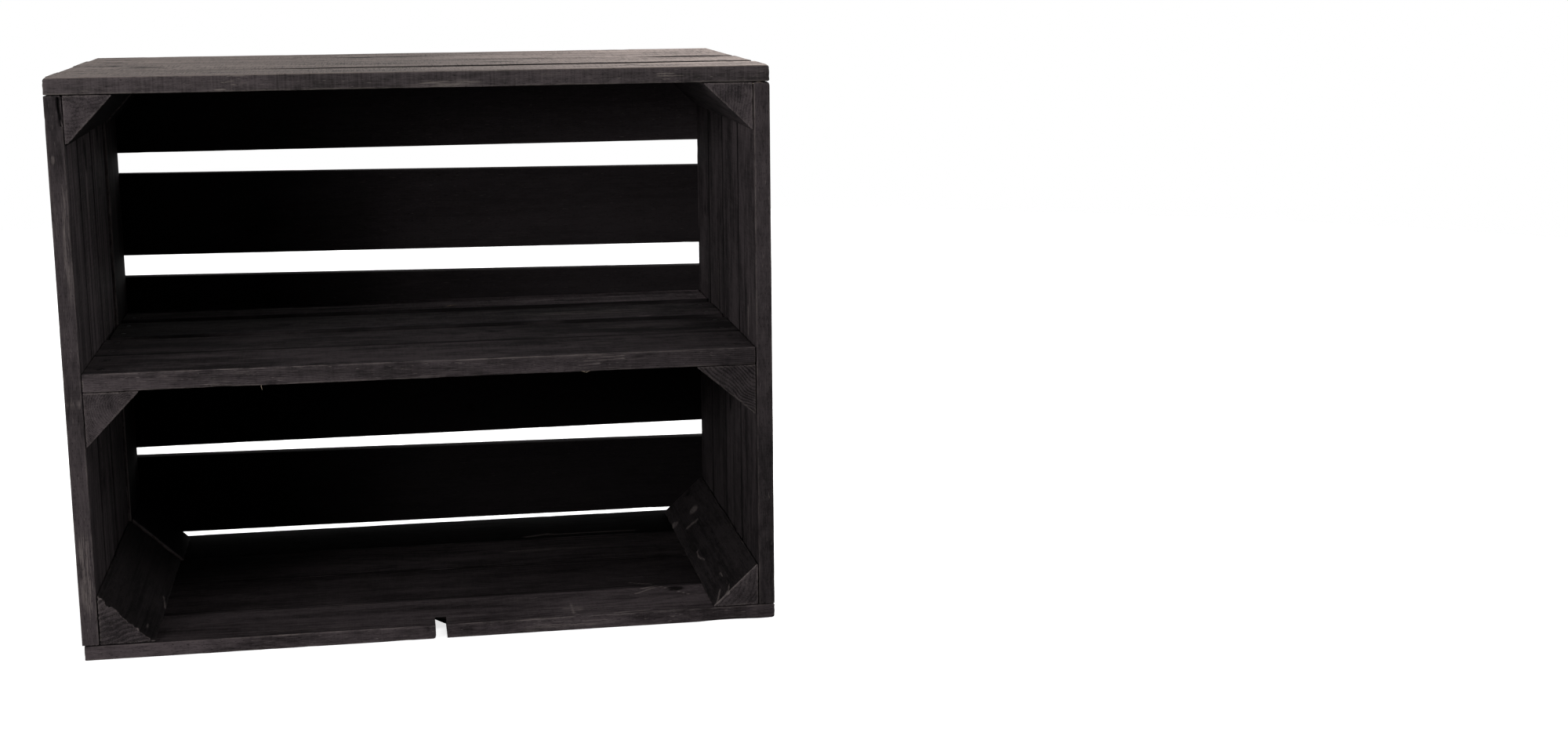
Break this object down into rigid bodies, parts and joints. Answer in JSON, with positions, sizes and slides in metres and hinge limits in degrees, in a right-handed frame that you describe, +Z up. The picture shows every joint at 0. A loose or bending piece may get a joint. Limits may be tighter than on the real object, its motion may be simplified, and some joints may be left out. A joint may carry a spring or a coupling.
{
  "type": "slatted wooden crate shelf",
  "caption": "Black-stained slatted wooden fruit crate on its long side, open at the front, with a fixed middle shelf on triangular battens.",
  "frame": {"origin": "on the floor, at the middle of the crate's footprint", "axes": "+X along the crate's width to the right, +Y back from the open front, +Z up"},
  "size_m": [0.5, 0.3, 0.412],
  "materials": {
    "weathered_top": "black stain worn to warm grey, open grain, matt",
    "stained_board": "thin black stain over sawn softwood, matt, dry-brushed at the edges",
    "stained_batten": "thin black stain over sawn softwood, matt",
    "nail_steel": "dark stained steel"
  },
  "bodies": {
    "root": {"top_board_1": "weathered_top", "top_board_2": "weathered_top", "top_board_3": "weathered_top", "top_board_4": "weathered_top", "bottom_board_1": "stained_board", "bottom_board_2": "stained_board", "bottom_board_3": "stained_board", "bottom_board_4": "stained_board", "left_board_1": "stained_board", "left_board_2": "stained_board", "left_board_3": "stained_board", "left_board_4": "stained_board", "right_board_1": "stained_board", "right_board_2": "stained_board", "right_board_3": "stained_board", "right_board_4": "stained_board", "back_board_1": "stained_board", "back_board_2": "stained_board", "back_board_3": "stained_board", "back_board_4": "stained_board", "back_board_5": "stained_board", "shelf_board_1": "stained_board", "shelf_board_2": "stained_board", "shelf_board_3": "stained_board", "shelf_board_4": "stained_board", "post_top_left_front": "stained_batten", "post_top_left_rear": "stained_batten", "post_top_right": "stained_batten", "post_bottom_left_front": "stained_batten", "post_bottom_left_rear": "stained_batten", "post_bottom_right": "stained_batten", "shelf_support_left_front": "stained_batten", "shelf_support_left_rear": "stained_batten", "shelf_support_right": "stained_batten", "shelf_nail_left_1": "nail_steel", "shelf_nail_left_2": "nail_steel", "shelf_nail_left_3": "nail_steel", "shelf_nail_left_4": "nail_steel", "shelf_nail_left_5": "nail_steel", "shelf_nail_left_6": "nail_steel", "shelf_nail_left_7": "nail_steel", "shelf_nail_left_8": "nail_steel", "back_nail_left_1": "nail_steel", "back_nail_left_2": "nail_steel", "back_nail_left_3": "nail_steel", "back_nail_left_4": "nail_steel", "back_nail_left_5": "nail_steel", "shelf_nail_right_1": "nail_steel", "shelf_nail_right_2": "nail_steel", "shelf_nail_right_3": "nail_steel", "shelf_nail_right_4": "nail_steel", "shelf_nail_right_5": "nail_steel", "shelf_nail_right_6": "nail_steel", "shelf_nail_right_7": "nail_steel", "shelf_nail_right_8": "nail_steel", "back_nail_right_1": "nail_steel", "back_nail_right_2": "nail_steel", "back_nail_right_3": "nail_steel", "back_nail_right_4": "nail_steel", "back_nail_right_5": "nail_steel"}
  },
  "joints": []
}
